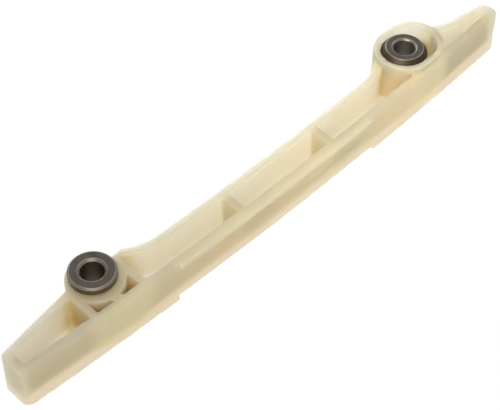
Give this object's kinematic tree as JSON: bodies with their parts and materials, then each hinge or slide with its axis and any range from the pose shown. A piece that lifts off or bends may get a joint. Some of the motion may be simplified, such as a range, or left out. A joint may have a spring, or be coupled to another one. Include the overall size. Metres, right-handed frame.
{
  "type": "timing chain guide",
  "caption": "Bowed nylon rail with open ribbed pockets, side lips along its running face and steel bolt sleeves; it steers an engine's timing chain.",
  "frame": {"origin": "on the lower bolt sleeve's axis, in the flat mounting face that the rail and both sleeves share", "axes": "+X along the rail from the lower to the upper sleeve, -Y towards the chain, +Z along the bolts away from the mounting face"},
  "size_m": [0.2448, 0.0298, 0.0205],
  "materials": {
    "nylon": "natural nylon, semi-matt as moulded",
    "sleeve_steel": "dark, turned and oiled"
  },
  "bodies": {
    "root": {"guide_rail": "nylon", "lower_bolt_sleeve": "sleeve_steel", "upper_bolt_sleeve": "sleeve_steel"}
  },
  "joints": []
}
